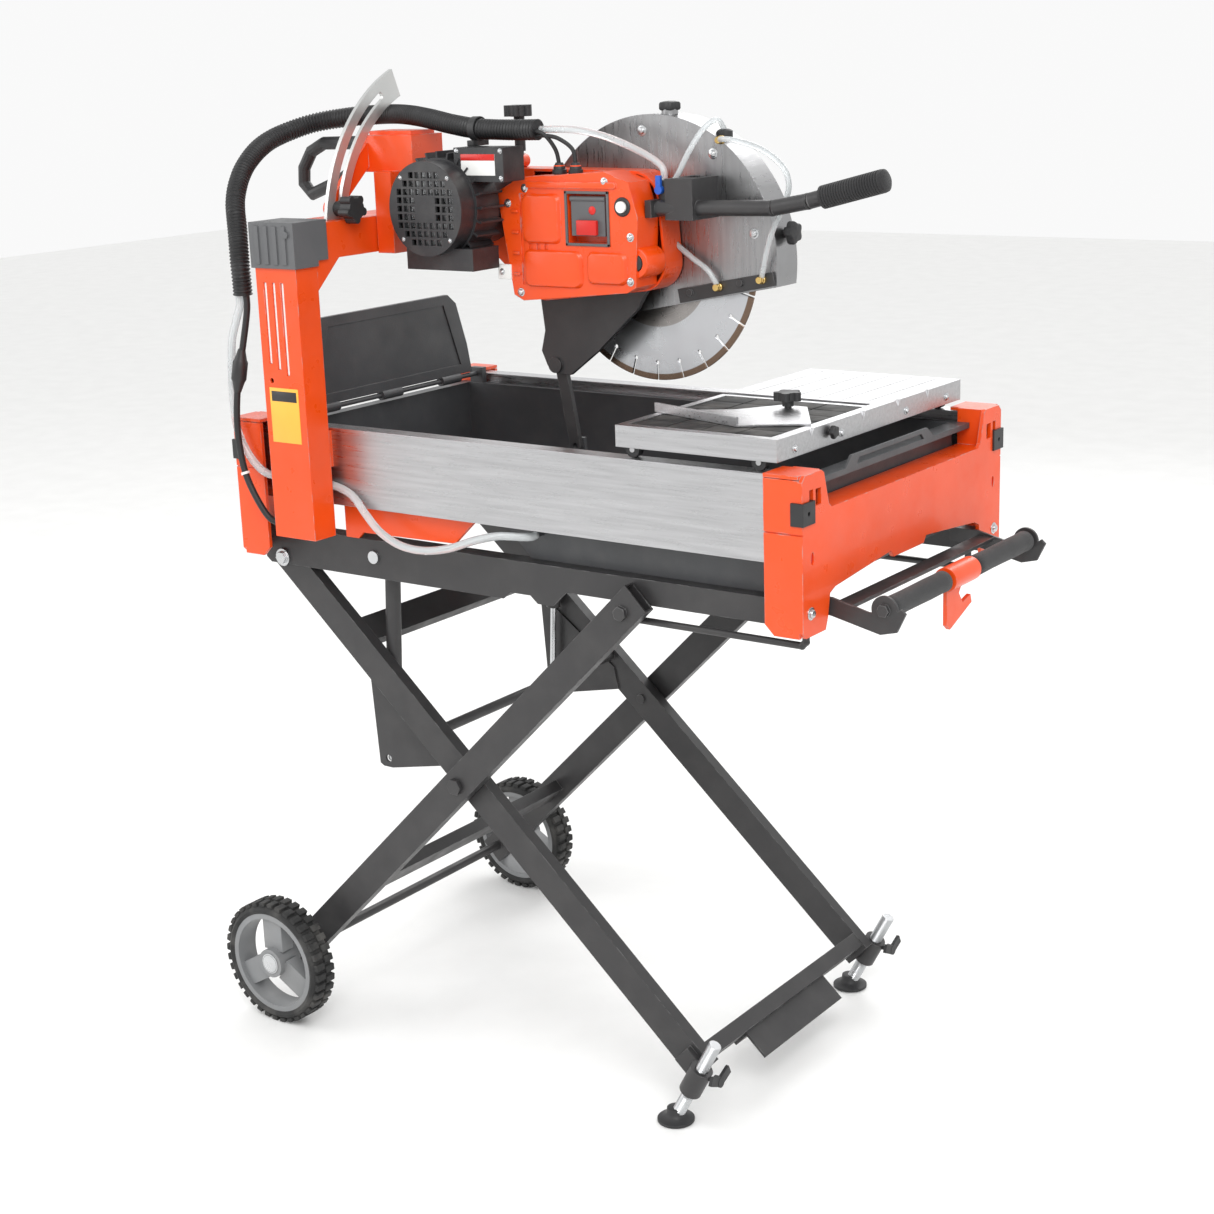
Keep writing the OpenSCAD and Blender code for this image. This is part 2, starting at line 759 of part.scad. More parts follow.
module bevel_knob() {
    color(black) {
        rod_x(clamp_y, clamp_z, [-369, -330], 5);
        rod_x(clamp_y, clamp_z, [-350.5, -332], 11);
        translate([-332, clamp_y, clamp_z]) rotate([0, 90, 0]) lobed_knob(21.5, 20, 5);
    }
}

// ---------------------------------------------------------------- motor

module cowl_grille() {
    for (x = [-4:4]) for (z = [-4:4]) if (norm([x, z]) < 4.6 && norm([x, z]) > 1.5)
        translate([motor[0] + 12 * x, motor[1] + 12 * z]) square([8.5, 8.5], center = true);
}

module motor_housing() {
    color(black) difference() {
        union() {
            rod_y(motor, [-197, -165], cowl_r);
            rod_y(motor, [-165, -113], fin_r - 9);
            rod_y(motor, [-113, house_y0], 60);
            for (a = [0:15:345]) translate([motor[0], -165, motor[1]]) rotate([0, a, 0])
                translate([-1.5, 0, 60]) cube([3, 52, fin_r - 60]);
            block([-165, -75], [-163, -115], [1340, 1388]);
            block([-250, -125], [-180, -120], [1214, 1246]);
        }
        rod_y(motor, [-193, -116], 61);
        plate_y([-198, -192]) cowl_grille();
        rod_y(motor, [-117, house_y0 + 1], 9 + fit);
        block([-161, -79], [-159, -119], [1372, 1384]);
    }
}

module motor_rotor() {
    color(steel) {
        rod_y(motor, [-188, -24], 9);
        rod_y(motor, [-184, -180], 58);
        for (a = [0:45:315]) translate([motor[0], -180, motor[1]]) rotate([0, a, 0])
            translate([-1.5, -0.1, 20]) cube([3, 12, 36]);
        rod_y(motor, [-160, -120], 52);
        rod_y(motor, [-50, -26], pulley_r);
    }
}

// ---------------------------------------------------------------- belt drive

module house_outline() {
    hull() {
        translate(motor) circle(r = 50, $fn = 32);
        translate([75, 1305]) circle(r = 45, $fn = 32);
        translate([85, 1222]) circle(r = 42, $fn = 32);
        translate([-90, 1200]) circle(r = 40, $fn = 32);
    }
}

module belt_housing() {
    color(orange) difference() {
        union() {
            difference() {
                plate_y([house_y0, house_y1]) house_outline();
                plate_y([house_y0 - 1, house_y1 - 3]) offset(delta = -4) house_outline();
            }
            intersection() {
                plate_y([house_y0, house_y0 + 3]) house_outline();
                block([-300, -102], [-60, -50], [1100, 1400]);
            }
            rod_y(plunge, [-58.5, -1], 16);
            plate_y([-30, house_y1]) polygon([[-290, 1335], [-285, 1328], [-240, 1325], [-225, 1345],
                [-270, 1357]]);
            rod_y([-139, 1362], [-50, -30], 10);
        }
        rod_y(plunge, [-60, 0], pin_r + fit);
        rod_y(motor, [house_y0 - 1, house_y0 + 4], 12);
        rod_y(arbor, [house_y1 - 4, house_y1 + 1], 9 + fit);
        rod_z(-139, -40, [1340, 1373], 5 + fit);
    }
}

function cover_outline() = [[-131, 1322], [-88, 1343], [60, 1352], [102, 1338], [117, 1290], [111, 1192],
    [96, 1184], [-90, 1166], [-107, 1174]];

module belt_cover() {
    color(orange) {
        difference() {
            plate_y([cover_y, house_y0]) polygon(cover_outline());
            plate_y([cover_y + 4, house_y0 + 1]) offset(delta = -4) polygon(cover_outline());
            block([-4, 65], [cover_y - 1, cover_y + 5], [1252, 1321]);
            rod_y([92, 1304], [cover_y - 1, cover_y + 5], 8 + fit);
            for (i = [0:3]) block([-90 + 14 * i, -84 + 14 * i], [cover_y - 1, cover_y + 2], [1190, 1320]);
        }
        difference() {
            block([-8, 69], [cover_y + 4, -84], [1248, 1325]);
            block([-4, 65], [cover_y, -88], [1252, 1321]);
        }
        for (x = [-26, 3]) rod_z(x, -96, [1345, 1360], 8);
    }
}

module drive_belt() {
    color("#202020") plate_y([-46, -30]) difference() {
        hull() {
            translate(motor) circle(r = pulley_r + belt_t, $fn = 32);
            translate(arbor) circle(r = pulley_r + belt_t, $fn = 32);
        }
        hull() {
            translate(motor) circle(r = pulley_r + 0.3, $fn = 32);
            translate(arbor) circle(r = pulley_r + 0.3, $fn = 32);
        }
    }
}

module spindle() {
    y0 = blade_y - blade_t / 2;
    y1 = blade_y + blade_t / 2;
    color(steel) {
        rod_y(arbor, [-52, 32], 9);
        rod_y(arbor, [-50, -26], pulley_r);
        rod_y(arbor, [4, y0], 32);
        rod_y(arbor, [y1, 26], 32);
        hex_head(arbor, [26, 34], 15);
    }
}

module saw_blade() {
    y0 = blade_y - blade_t / 2;
    color("#a5a7a9") difference() {
        rod_y(arbor, [y0, y0 + blade_t], blade_r, $fn = 144);
        rod_y(arbor, [y0 - 1, y0 + blade_t + 1], 9 + fit);
        translate([arbor[0], blade_y, arbor[1]]) for (i = [0:segments - 1]) rotate([0,
            360 * i / segments, 0]) {
            translate([0, 0, blade_r - 12]) cube([3, blade_t + 2, 26], center = true);
            translate([0, 0, blade_r - 26]) rotate([90, 0, 0]) cylinder(h = blade_t + 2, r = 3,
                center = true, $fn = 20);
        }
    }
}

// ---------------------------------------------------------------- guard

module guard_outline(r) {
    intersection() {
        translate(guard) circle(r = r, $fn = 120);
        translate([50, 1145]) rotate(10.6) translate([-400, 0]) square([800, 600]);
    }
}

module blade_guard() {
    color("#b3b5b8") {
        difference() {
            union() {
                plate_y([-12, 42]) guard_outline(guard_r);
                rod_y(arbor, [house_y1, -11], 38);
            }
            plate_y([-9, 39]) translate([0, -1]) guard_outline(guard_r - 4);
            rod_y(arbor, [house_y1 - 1, -8], 24);
        }
        rod_z(187, 10, [1393, 1402], 9);
        rod_z(95, 10, [1424, 1434], 12);
    }
}

module guard_strip() {
    color(black) {
        plate_y([-16, -12]) polygon([[118, 1180], [278, 1210], [282, 1191], [122, 1160]]);
        for (p = [[140, 1176], [190, 1186], [225, 1193], [262, 1199]]) rod_y(p, [-19, -16], 5);
    }
}

module pivot_plate() {
    color(black) {
        plate_y([-44, -36]) difference() {
            polygon([[-112, 1180], [-104, 1113], [-112, 1082], [-102, 1060], [-86, 1050], [-60, 1048],
                [-6, 1088], [66, 1152], [90, 1190]]);
            house_outline();
        }
        rod_y(eye, [-48, -24], 5);
        rod_y(eye, [-48, -44], 12);
    }
}

// ---------------------------------------------------------------- head handle

module head_bar() {
    bar = [[124, -74, 1300], [180, -62, 1300], [306, -60, 1302], [362, -60, 1312], [472, -60, 1339]];
    color(black) {
        bent_rod(bar, 11);
        difference() {
            block([142, 188], [-78, -12], [1284, 1341]);
            block([150, 180], [-50, -11], [1316, 1342]);
        }
        block([117.5, 128], [-92, -62], [1288, 1312]);
        rod_z(130, -60, [1306, 1338], 9);
    }
}

module head_grip() {
    start = [384, -60, 1317.4];
    finish = [474, -60, 1339.5];
    color(black) difference() {
        rod_between(start, finish + [8, 0, 1.96], 16);
        rod_between(start - [4, 0, 0.98], finish, 11 + fit);
    }
}

module top_knob() {
    color(black) translate([-139, -40, 0]) {
        translate([0, 0, 1360]) cylinder(h = 72, r = 5);
        translate([0, 0, 1376]) cylinder(h = 50, r = 8);
        translate([0, 0, 1426]) lobed_knob(22, 16, 5);
    }
}

// ---------------------------------------------------------------- small moving parts

module switch_flap() {
    color("#8a8c8e") {
        block([1, 60], [cover_y + 2, cover_y + 6], [1262, 1312]);
        rod_x(cover_y + 4, 1314, [0, 61], 4);
    }
    color("red") block([14, 48], [cover_y - 4, cover_y + 2], [1264, 1284]);
}

module stop_button() {
    color("white") rod_y([92, 1304], [cover_y - 6, cover_y + 10], 8);
    color(black) rod_y([92, 1304], [cover_y + 5, cover_y + 8], 11);
}

module valve_lever() {
    color("#1a5fb4") {
        rod_y([130, 1325], [-77, -69.3], 6);
        block([126, 134], [-77, -72], [1325, 1345]);
    }
}

module link_strut() {
    low = [-63, 938];
    color(black) plate_y([-35, -27]) difference() {
        hull() {
            translate(eye) circle(r = 9.5, $fn = 32);
            translate(low) circle(r = 9.5, $fn = 32);
        }
        translate(eye) circle(r = 5 + fit, $fn = 32);
        translate(low) circle(r = 5 + fit, $fn = 32);
    }
}

// ---------------------------------------------------------------- hoses and cables

module conduit() {
    color("#2a2a2c") cord(conduit_route, 15);
}

module power_cable() {
    color("#1f1f20") cord(power_route, 5);
}

module pump_hose() {
    color("#d5d8da") cord(pump_route, 6);
}

module feed_hose() {
    color("#d5d8da") cord(feed_route, 5);
}

side_rails();
front_panel();
rear_panel();
corner_plugs();
frame_bolts();
water_pan();
column();
column_cap();
arm();
arc_plate();
gussets();
stand_rails();
guide_rods();
front_bracket();
front_grips();
hinged_legs();
wheel_legs();
tyre_near();
tyre_far();
rim_near();
rim_far();
foot_near();
foot_far();
wing_near();
wing_far();
strut_tube_near();
strut_tube_far();
strut_rod_near();
strut_rod_far();
splash_flap();
latch_hook();
cart_table();
rollers_front();
rollers_rear();
angle_stop();
stop_knob();
carriage();
carry_handle();
bevel_knob();
motor_housing();
belt_housing();
belt_cover();
blade_guard();
guard_strip();
pivot_plate();
head_bar();
head_grip();
top_knob();
motor_rotor();
spindle();
saw_blade();
drive_belt();
switch_flap();
stop_button();
valve_lever();
link_strut();
conduit();
power_cable();
pump_hose();
feed_hose();
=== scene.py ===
import json
import math

import bmesh
import bpy
from mathutils import Matrix, Vector


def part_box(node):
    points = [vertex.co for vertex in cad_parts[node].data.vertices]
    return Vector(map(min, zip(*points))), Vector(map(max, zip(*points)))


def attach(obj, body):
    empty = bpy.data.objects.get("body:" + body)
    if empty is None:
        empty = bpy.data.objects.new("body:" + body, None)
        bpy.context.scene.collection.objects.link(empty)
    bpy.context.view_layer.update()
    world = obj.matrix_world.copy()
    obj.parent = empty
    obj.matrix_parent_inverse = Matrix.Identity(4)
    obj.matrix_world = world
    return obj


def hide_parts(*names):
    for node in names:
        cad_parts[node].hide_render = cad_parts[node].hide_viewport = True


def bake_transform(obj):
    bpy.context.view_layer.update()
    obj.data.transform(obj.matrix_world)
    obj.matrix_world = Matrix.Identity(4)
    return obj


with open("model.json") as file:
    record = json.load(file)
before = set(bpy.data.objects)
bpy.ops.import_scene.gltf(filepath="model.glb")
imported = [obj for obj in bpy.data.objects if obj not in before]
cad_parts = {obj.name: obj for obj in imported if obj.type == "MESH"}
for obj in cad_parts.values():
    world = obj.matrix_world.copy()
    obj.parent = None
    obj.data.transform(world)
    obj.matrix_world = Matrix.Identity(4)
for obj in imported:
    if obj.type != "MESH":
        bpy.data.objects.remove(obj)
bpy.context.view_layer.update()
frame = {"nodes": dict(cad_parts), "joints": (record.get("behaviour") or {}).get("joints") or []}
JOINTS = {j["name"]: j for j in frame["joints"]}

# ------------------------------------------------------------------ camera

CAMERA_AT = Vector((1.782, -2.490, 1.530))
CAMERA_YAW = math.radians(36.19)
CAMERA_PITCH = math.radians(15.41)
CAMERA_ROLL = math.radians(-2.04)
CAMERA_LENS = 61.0


def make_camera():
    yaw, pitch, roll = CAMERA_YAW, CAMERA_PITCH, CAMERA_ROLL
    forward = Vector((-math.sin(yaw) * math.cos(pitch), math.cos(yaw) * math.cos(pitch), -math.sin(pitch)))
    right = Vector((math.cos(yaw), math.sin(yaw), 0))
    up = right.cross(forward)
    x_axis = math.cos(roll) * right + math.sin(roll) * up
    y_axis = -math.sin(roll) * right + math.cos(roll) * up
    data = bpy.data.cameras.new("camera")
    data.lens = CAMERA_LENS
    data.sensor_width = 36
    camera = bpy.data.objects.new("camera", data)
    bpy.context.scene.collection.objects.link(camera)
    turn = Matrix((x_axis, y_axis, -forward)).transposed().to_4x4()
    camera.matrix_world = Matrix.Translation(CAMERA_AT) @ turn
    bpy.context.scene.camera = camera


# ------------------------------------------------------------------ materials


def add_node(tree, kind, **inputs):
    made = tree.nodes.new(kind)
    for name, value in inputs.items():
        made.inputs[name.replace("_", " ")].default_value = value
    return made


def noise(tree, scale, detail=4.0, stretch=(1, 1, 1)):
    """A noise factor on the object's own coordinates."""
    coord = tree.nodes.new("ShaderNodeTexCoord")
    mapping = add_node(tree, "ShaderNodeMapping", Scale=stretch)
    texture = add_node(tree, "ShaderNodeTexNoise", Scale=scale, Detail=detail)
    tree.links.new(coord.outputs["Object"], mapping.inputs["Vector"])
    tree.links.new(mapping.outputs["Vector"], texture.inputs["Vector"])
    return texture.outputs["Fac"]


def remap(tree, value, low, high, from_low=0.3, from_high=0.7):
    node = add_node(tree, "ShaderNodeMapRange", From_Min=from_low, From_Max=from_high,
                    To_Min=low, To_Max=high)
    tree.links.new(value, node.inputs["Value"])
    return node.outputs["Result"]


def mix_colour(tree, factor, a, b):
    node = tree.nodes.new("ShaderNodeMix")
    node.data_type = "RGBA"
    tree.links.new(factor, node.inputs["Factor"])
    for socket, colour in ((node.inputs[6], a), (node.inputs[7], b)):
        if isinstance(colour, tuple):
            socket.default_value = (*colour, 1)
        else:
            tree.links.new(colour, socket)
    return node.outputs[2]


def edge_mask(tree, radius=0.0022):
    """Near 1 on sharp edges, 0 on flats, broken up by noise."""
    soft = add_node(tree, "ShaderNodeBevel", Radius=radius)
    true = tree.nodes.new("ShaderNodeNewGeometry")
    dot = tree.nodes.new("ShaderNodeVectorMath")
    dot.operation = "DOT_PRODUCT"
    tree.links.new(soft.outputs["Normal"], dot.inputs[0])
    tree.links.new(true.outputs["Normal"], dot.inputs[1])
    edge = remap(tree, dot.outputs["Value"], 1.0, 0.0, 0.80, 0.99)
    breaks = remap(tree, noise(tree, 45.0), 0.0, 1.0, 0.48, 0.62)
    both = tree.nodes.new("ShaderNodeMath")
    both.operation = "MULTIPLY"
    tree.links.new(edge, both.inputs[0])
    tree.links.new(breaks, both.inputs[1])
    return both.outputs[0]


def shade(colour, amount):
    return tuple(min(1.0, c * amount) for c in colour)


def surface(name, colour, rough, metal=0.0, vary=0.08, grain=400.0, bump=0.08, stretch=(1, 1, 1),
            wear=None, dust=0.0, coat=0.0, sheen=0.0):
    """A procedural finish: uneven colour, uneven gloss, a fine bump, worn edges and a little dust."""
    material = bpy.data.materials.new(name)
    material.use_nodes = True
    tree = material.node_tree
    shader = tree.nodes["Principled BSDF"]
    shader.inputs["Metallic"].default_value = metal
    shader.inputs["Coat Weight"].default_value = coat
    shader.inputs["Sheen Weight"].default_value = sheen
    broad = noise(tree, 9.0, stretch=stretch)
    fine = noise(tree, grain, 3.0, stretch)
    tint = mix_colour(tree, remap(tree, broad, 0, 1), shade(colour, 1 - vary), shade(colour, 1 + vary))
    if dust:
        dusty = remap(tree, noise(tree, 22.0, 6.0), 0.0, dust, 0.45, 0.8)
        tint = mix_colour(tree, dusty, tint, (0.42, 0.40, 0.37))
    if wear:
        tint = mix_colour(tree, edge_mask(tree), tint, wear)
    tree.links.new(tint, shader.inputs["Base Color"])
    gloss = remap(tree, noise(tree, 30.0, 5.0, stretch), max(0.05, rough - 0.09), min(1, rough + 0.09))
    tree.links.new(gloss, shader.inputs["Roughness"])
    relief = add_node(tree, "ShaderNodeBump", Strength=bump, Distance=0.001)
    tree.links.new(fine, relief.inputs["Height"])
    soft = add_node(tree, "ShaderNodeBevel", Radius=0.0012)
    tree.links.new(soft.outputs["Normal"], relief.inputs["Normal"])
    tree.links.new(relief.outputs["Normal"], shader.inputs["Normal"])
    return material


def clear_hose():
    material = surface("hose_clear", (0.78, 0.81, 0.82), 0.22, vary=0.04, bump=0.03)
    material.node_tree.nodes["Principled BSDF"].inputs["Transmission Weight"].default_value = 0.55
    return material


def blade_steel():
    """Brushed round the arbor, with copper-brown diamond segments at the rim and one fine ring."""
    material = surface("blade_steel", (0.62, 0.63, 0.65), 0.3, metal=1.0, grain=150.0, bump=0.04)
    tree = material.node_tree
    shader = tree.nodes["Principled BSDF"]
    arbor = JOINTS["blade_spin"]["pos_m"]
    coord = tree.nodes.new("ShaderNodeTexCoord")
    shift = tree.nodes.new("ShaderNodeVectorMath")
    shift.operation = "SUBTRACT"
    shift.inputs[1].default_value = arbor
    flat = tree.nodes.new("ShaderNodeVectorMath")
    flat.operation = "MULTIPLY"
    flat.inputs[1].default_value = (1, 0, 1)
    length = tree.nodes.new("ShaderNodeVectorMath")
    length.operation = "LENGTH"
    tree.links.new(coord.outputs["Object"], shift.inputs[0])
    tree.links.new(shift.outputs["Vector"], flat.inputs[0])
    tree.links.new(flat.outputs["Vector"], length.inputs[0])
    radius = length.outputs["Value"]
    rings = add_node(tree, "ShaderNodeTexNoise", Scale=900.0, Detail=2.0)
    rings.noise_dimensions = "1D"
    tree.links.new(radius, rings.inputs["W"])
    steel = mix_colour(tree, rings.outputs["Fac"], (0.28, 0.26, 0.25), (0.47, 0.445, 0.43))
    ring_from, ring_to = 0.0955, 0.0965
    line = remap(tree, radius, 0.0, 1.0, ring_from, ring_to)
    steel = mix_colour(tree, line, steel, (0.60, 0.61, 0.63))
    segments_from, segments_to = 0.1655, 0.1665
    segment = remap(tree, radius, 0.0, 1.0, segments_from, segments_to)
    grit = mix_colour(tree, noise(tree, 700.0), (0.13, 0.085, 0.06), (0.27, 0.19, 0.14))
    tree.links.new(mix_colour(tree, segment, steel, grit), shader.inputs["Base Color"])
    return material


def make_materials():
    bare = (0.34, 0.33, 0.32)
    return {
        "orange_paint": surface("orange_paint", (0.78, 0.068, 0.003), 0.34, vary=0.05, wear=bare,
                                dust=0.02, coat=0.15),
        "aluminium": surface("aluminium", (0.50, 0.50, 0.51), 0.33, 1.0, 0.09, 260.0, 0.10, (1, 22, 22)),
        "guard_steel": surface("guard_steel", (0.33, 0.33, 0.335), 0.32, 1.0, 0.08, 320.0, 0.08, (12, 1, 1)),
        "black_paint": surface("black_paint", (0.030, 0.029, 0.030), 0.42, vary=0.05,
                               wear=(0.16, 0.16, 0.16), dust=0.03),
        "black_plastic": surface("black_plastic", (0.020, 0.020, 0.021), 0.50, bump=0.16),
        "grey_plastic": surface("grey_plastic", (0.060, 0.062, 0.066), 0.44, bump=0.18, dust=0.05),
        "cap_grey": surface("cap_grey", (0.10, 0.102, 0.106), 0.48, bump=0.15),
        "steel": surface("steel", (0.58, 0.59, 0.60), 0.27, 1.0, 0.10, 500.0, 0.06),
        "rim_plastic": surface("rim_plastic", (0.21, 0.215, 0.22), 0.45, bump=0.12, dust=0.15),
        "tyre": surface("tyre", (0.020, 0.020, 0.020), 0.78, grain=700.0, bump=0.35, dust=0.22),
        "foam": surface("foam", (0.016, 0.016, 0.017), 0.88, grain=1400.0, bump=0.6, sheen=0.15),
        "motor_black": surface("motor_black", (0.022, 0.022, 0.024), 0.40, grain=300.0, bump=0.25, dust=0.08),
        "hose_clear": clear_hose(),
        "cable_black": surface("cable_black", (0.014, 0.014, 0.015), 0.52, bump=0.12),
        "valve_blue": surface("valve_blue", (0.02, 0.11, 0.52), 0.32, bump=0.05),
        "button_white": surface("button_white", (0.80, 0.80, 0.78), 0.30, bump=0.04),
        "red_plastic": surface("red_plastic", (0.60, 0.015, 0.010), 0.33, bump=0.05),
        "brass": surface("brass", (0.72, 0.50, 0.18), 0.28, 1.0, 0.10, 500.0, 0.05),
        "yellow_patch": surface("yellow_patch", (0.80, 0.43, 0.05), 0.40, bump=0.03),
        "arc_steel": surface("arc_steel", (0.60, 0.61, 0.60), 0.40, 0.85, 0.08, 240.0, 0.10),
        "blade": blade_steel(),
    }


MATERIAL_OF = {
    "rear_panel front_panel column arm gussets latch_hook carriage belt_housing belt_cover": "orange_paint",
    "side_rails cart_table angle_stop": "aluminium",
    "blade_guard": "guard_steel",
    "stand_rails guide_rods front_bracket hinged_legs wheel_legs pivot_plate": "black_paint",
    "guard_strip link_strut head_bar strut_tube_near strut_tube_far": "black_paint",
    "corner_plugs bevel_knob top_knob stop_knob rollers_front rollers_rear": "black_plastic",
    "water_pan splash_flap": "grey_plastic",
    "column_cap switch_flap": "cap_grey",
    "wing_near wing_far carry_handle": "black_plastic",
    "frame_bolts strut_rod_near strut_rod_far motor_rotor spindle foot_near foot_far": "steel",
    "rim_near rim_far": "rim_plastic",
    "tyre_near tyre_far": "tyre",
    "front_grips head_grip": "foam",
    "motor_housing": "motor_black",
    "pump_hose feed_hose": "hose_clear",
    "conduit power_cable drive_belt": "cable_black",
    "valve_lever": "valve_blue",
    "stop_button": "button_white",
    "arc_plate": "arc_steel",
    "saw_blade": "blade",
}


def dress_cad_nodes(materials):
    for names, key in MATERIAL_OF.items():
        for name in names.split():
            mesh = frame["nodes"][name].data
            mesh.materials.clear()
            mesh.materials.append(materials[key])


# ------------------------------------------------------------------ mesh tools


def piece(name, mesh_data, material, body):
    """Turns a bmesh into a finished piece that rides on a body."""
    bmesh.ops.recalc_face_normals(mesh_data, faces=mesh_data.faces)
    mesh = bpy.data.meshes.new(name)
    mesh_data.to_mesh(mesh)
    mesh_data.free()
    mesh.materials.append(material)
    mesh.shade_smooth()
    mesh.set_sharp_from_angle(angle=math.radians(35))
    made = bpy.data.objects.new(name, mesh)
    bpy.context.scene.collection.objects.link(made)
    if body:
        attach(made, body)
    return made


def across(direction):
    """Two unit vectors square to a direction."""
    helper = Vector((0, 0, 1)) if abs(direction.z) < 0.9 else Vector((1, 0, 0))
    side = direction.cross(helper).normalized()
    return side, direction.cross(side).normalized()


def skin_rings(work, rings):
    """Joins rings of points into a skin, and closes its two ends."""
    made = [[work.verts.new(p) for p in ring] for ring in rings]
    count = len(made[0])
    for a, b in zip(made, made[1:]):
        for k in range(count):
            n = (k + 1) % count
            work.faces.new((a[k], a[n], b[n], b[k]))
    work.faces.new(made[0])
    work.faces.new(made[-1])


def open_ends(work):
    """Makes a ring of a lathe whose profile ends where it starts: no end faces, one seam."""
    ends = [f for f in work.faces if len(f.verts) > 4]
    bmesh.ops.delete(work, geom=ends, context="FACES_ONLY")
    bmesh.ops.remove_doubles(work, verts=work.verts, dist=1e-6)


def merge(work, part, matrix):
    """Moves a part by a matrix and adds it to the work."""
    bmesh.ops.transform(part, matrix=matrix, verts=part.verts)
    scratch = bpy.data.meshes.new("scratch")
    part.to_mesh(scratch)
    part.free()
    work.from_mesh(scratch)
    bpy.data.meshes.remove(scratch)


def add_lathe(work, at, direction, profile, sides=40, lobes=0, lobe_depth=0.0):
    """Turns (radius, distance) pairs round an axis. Lobes make the radius wave, as on a star knob."""
    direction = Vector(direction).normalized()
    u, v = across(direction)
    rings = []
    for radius, along in profile:
        ring = []
        for k in range(sides):
            a = 2 * math.pi * k / sides
            r = radius * (1 - lobe_depth * (0.5 - 0.5 * math.cos(lobes * a)))
            ring.append(Vector(at) + direction * along + r * (math.cos(a) * u + math.sin(a) * v))
        rings.append(ring)
    skin_rings(work, rings)


def lathe(name, at, direction, profile, material, body, slot=None, **shape):
    work = bmesh.new()
    add_lathe(work, at, direction, profile, **shape)
    return piece(name, work, material, body)


def add_block(work, low, high, round_by=0.0008):
    """A box with rounded edges."""
    low, high = Vector(low), Vector(high)
    made = bmesh.ops.create_cube(work, size=1.0)["verts"]
    for vert in made:
        vert.co = Vector([(low[i] + high[i]) / 2 + vert.co[i] * (high[i] - low[i]) for i in range(3)])
    edges = list({e for vert in made for e in vert.link_edges})
    bmesh.ops.bevel(work, geom=edges, offset=round_by, segments=2, profile=0.6, affect="EDGES")


def block(name, low, high, material, body, round_by=0.0008):
    work = bmesh.new()
    add_block(work, low, high, round_by)
    return piece(name, work, material, body)


def smooth_route(points, step=0.004):
    """A smooth line through given points."""
    points = [Vector(p) for p in points]
    line = []
    for i in range(len(points) - 1):
        a, b = points[max(i - 1, 0)], points[i]
        c, d = points[i + 1], points[min(i + 2, len(points) - 1)]
        count = max(2, round((c - b).length / step))
        for k in range(count):
            t = k / count
            line.append(0.5 * (2 * b + (c - a) * t + (2 * a - 5 * b + 4 * c - d) * t ** 2
                               + (3 * b - a - 3 * c + d) * t ** 3))
    return line + [points[-1]]


def sweep(work, line, radius_at, sides=16):
    """A tube along a line, whose radius may change along it."""
    side = None
    rings = []
    travelled = 0.0
    for i, p in enumerate(line):
        tangent = (line[min(i + 1, len(line) - 1)] - line[max(i - 1, 0)]).normalized()
        side = across(tangent)[0] if side is None else (side - side.dot(tangent) * tangent).normalized()
        other = tangent.cross(side)
        travelled += (p - line[i - 1]).length if i else 0.0
        r = radius_at(travelled)
        angles = [2 * math.pi * k / sides for k in range(sides)]
        rings.append([p + r * (math.cos(a) * side + math.sin(a) * other) for a in angles])
    skin_rings(work, rings)


def metres(points):
    return [Vector(p) * 0.001 for p in points]


# ------------------------------------------------------------------ cords

# Routes in millimetres, as the CAD model has them
CONDUIT = [(-51, -110, 1410), (-106, -110, 1410), (-162, -110, 1412), (-212, -105, 1418),
           (-258, -96, 1425), (-305, -82, 1430), (-354, -66, 1432), (-405, -60, 1431), (-455, -70, 1428),
           (-500, -95, 1421), (-524, -132, 1409), (-532, -168, 1396), (-531, -202, 1378), (-525, -235, 1352),
           (-514, -262, 1316), (-492, -284, 1272), (-478, -298, 1226), (-475, -300, 1196), (-475, -300, 1180)]
POWER = [(-468, -300, 1180), (-468, -300, 1165), (-470, -302, 1145), (-476, -306, 1110), (-484, -310, 1070),
         (-491, -313, 1030), (-495, -314, 990), (-494, -314, 950), (-486, -314, 910), (-468, -314, 875),
         (-450, -309, 845), (-436, -305, 836), (-424, -305, 836)]
PUMP = [(-483, -300, 1180), (-483, -300, 1165), (-494, -300, 1140), (-506, -300, 1110), (-512, -300, 1065),
        (-513, -301, 1020), (-508, -302, 975), (-490, -301, 938), (-464, -298, 912), (-442, -284, 902),
        (-422, -276, 899), (-372, -276, 899), (-332, -276, 896), (-300, -277, 884), (-274, -280, 860),
        (-246, -281, 836), (-208, -281, 820), (-165, -280, 817), (-118, -278, 825), (-76, -272, 840),
        (-36, -265, 850), (0, -260, 852), (15, -252, 852), (15, -241, 852)]
FEED = [(-51, -104, 1410), (-38, -104, 1410), (-20, -100, 1410), (5, -91, 1408), (35, -80, 1401),
        (64, -70, 1390), (92, -63, 1377), (116, -60, 1364), (128, -60, 1354), (130, -60, 1346),
        (130, -60, 1338)]
SWITCH_LEAD = [(-51, -117, 1408), (-42, -117, 1407), (-33, -111, 1398), (-27, -101, 1380), (-26, -96, 1360)]
MOTOR_LEAD = [(-51, -113, 1402), (-40, -113, 1402), (-18, -108, 1398), (0, -98, 1382), (3, -96, 1360)]
TOP_LOOP = [(140, -60, 1332), (152, -59, 1345), (168, -52, 1378), (181, -32, 1408),
            (187, -8, 1417), (187, 10, 1402)]
FRONT_LOOP = [(196, -17, 1390), (210, -33, 1392), (240, -41, 1390), (281, -42, 1378), (312, -42, 1356),
              (321, -41, 1330), (309, -38, 1301), (290, -33, 1270), (274, -26, 1236), (262, -20, 1199)]
STRIP_HOSE = [(93, -18, 1275), (104, -21, 1262), (124, -22, 1244), (150, -23, 1226),
              (176, -23, 1209), (190, -20, 1186)]


